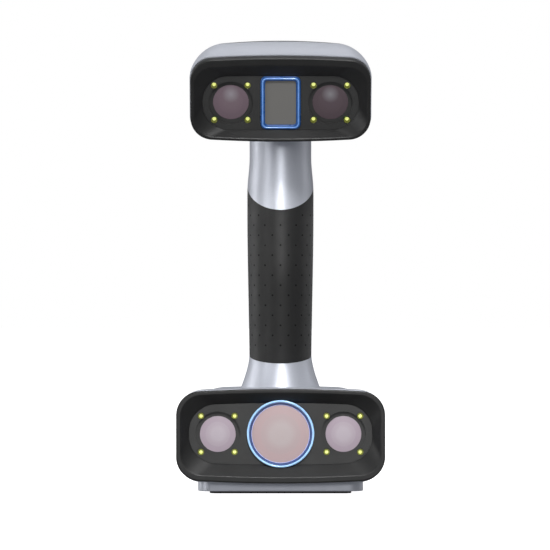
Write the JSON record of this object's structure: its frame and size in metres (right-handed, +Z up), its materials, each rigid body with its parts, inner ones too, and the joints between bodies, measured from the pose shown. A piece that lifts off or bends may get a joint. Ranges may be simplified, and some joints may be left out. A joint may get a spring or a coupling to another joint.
{
  "type": "handheld 3d scanner",
  "caption": "Handheld 3D scanner: two black-faced camera heads with round windows and light points, joined by a rubber grip with thumb buttons, on a flat base.",
  "frame": {"origin": "middle of the bounding box in plan, on the underside of the rubber foot", "axes": "+Z up along the grip; the lens faces look along -Y; +X is to the right seen from the front"},
  "size_m": [0.108, 0.1099, 0.237],
  "materials": {
    "bare_aluminium": "milled",
    "black_plastic": "smooth black plastic, slightly glossy",
    "blue_trim": "glossy blue plastic",
    "button_plastic": "satin grey plastic",
    "camera_metal": "black anodised",
    "circuit_board": "green solder mask",
    "fan_plastic": "glass-filled black plastic",
    "foot_rubber": "dark grey rubber",
    "graphite_plastic": "fine-textured dark grey plastic",
    "grip_rubber": "soft-touch black rubber with fine dimples",
    "harness_jacket": "braided sleeve",
    "laser_glass": "grey filter glass",
    "led_lens": "clear yellow-green lens",
    "lens_glass": "coated camera lens",
    "pad_plastic": "glossy black plastic",
    "panel_plastic": "smooth black plastic, matte",
    "projector_glass": "coated optical glass with a pink cast",
    "scan_button_plastic": "satin blue plastic",
    "screw_steel": "zinc plated",
    "silver_plastic": "satin silver paint on moulded plastic",
    "socket_metal": "nickel plated",
    "status_lens": "frosted clear light pipe",
    "window_glass": "coated optical glass with a lilac cast"
  },
  "bodies": {
    "body": {"base_plate": "silver_plastic", "base_screws": "screw_steel", "button_board": "circuit_board", "button_pad": "pad_plastic", "cable_socket": "socket_metal", "fan_frame": "fan_plastic", "grip_sleeve": "grip_rubber", "handle_core": "bare_aluminium", "heatsink": "bare_aluminium", "laser_module": "camera_metal", "laser_window": "laser_glass", "laser_window_frame": "blue_trim", "lower_bezel": "black_plastic", "lower_bracket": "bare_aluminium", "lower_camera_lenses": "lens_glass", "lower_camera_plate": "bare_aluminium", "lower_led_boards": "circuit_board", "lower_left_camera": "camera_metal", "lower_left_led_lenses": "led_lens", "lower_left_window": "window_glass", "lower_lens_panel": "panel_plastic", "lower_neck": "silver_plastic", "lower_rear_cover": "graphite_plastic", "lower_right_camera": "camera_metal", "lower_right_led_lenses": "led_lens", "lower_right_window": "window_glass", "lower_shell": "silver_plastic", "main_board": "circuit_board", "neck_shell": "silver_plastic", "projector_engine": "camera_metal", "projector_lens": "camera_metal", "projector_ring": "blue_trim", "projector_window": "projector_glass", "rubber_foot": "foot_rubber", "status_light": "status_lens", "upper_bezel": "black_plastic", "upper_board": "circuit_board", "upper_bracket": "bare_aluminium", "upper_camera_lenses": "lens_glass", "upper_led_boards": "circuit_board", "upper_left_camera": "camera_metal", "upper_left_led_lenses": "led_lens", "upper_left_window": "window_glass", "upper_lens_panel": "panel_plastic", "upper_rear_cover": "graphite_plastic", "upper_right_camera": "camera_metal", "upper_right_led_lenses": "led_lens", "upper_right_window": "window_glass", "upper_shell": "silver_plastic", "wire_harness": "harness_jacket"},
    "minus_button": {"minus_button": "button_plastic"},
    "scan_button": {"scan_button": "scan_button_plastic"},
    "plus_button": {"plus_button": "button_plastic"},
    "fan_rotor": {"fan_rotor": "fan_plastic"}
  },
  "joints": [
    {"name": "minus_press", "type": "slide", "parent": "body", "child": "minus_button", "axis": [0, -1, 0], "range_m": [0, 0.0008], "stiffness_N_per_m": 600, "springref_m": -0.0005},
    {"name": "scan_press", "type": "slide", "parent": "body", "child": "scan_button", "axis": [0, -1, 0], "range_m": [0, 0.0008], "stiffness_N_per_m": 600, "springref_m": -0.0005},
    {"name": "plus_press", "type": "slide", "parent": "body", "child": "plus_button", "axis": [0, -1, 0], "range_m": [0, 0.0008], "stiffness_N_per_m": 600, "springref_m": -0.0005},
    {"name": "fan_spin", "type": "hinge", "parent": "body", "child": "fan_rotor", "pos_m": [-0.0135, 0.038, 0.0275], "axis": [0, 1, 0], "continuous": true}
  ]
}
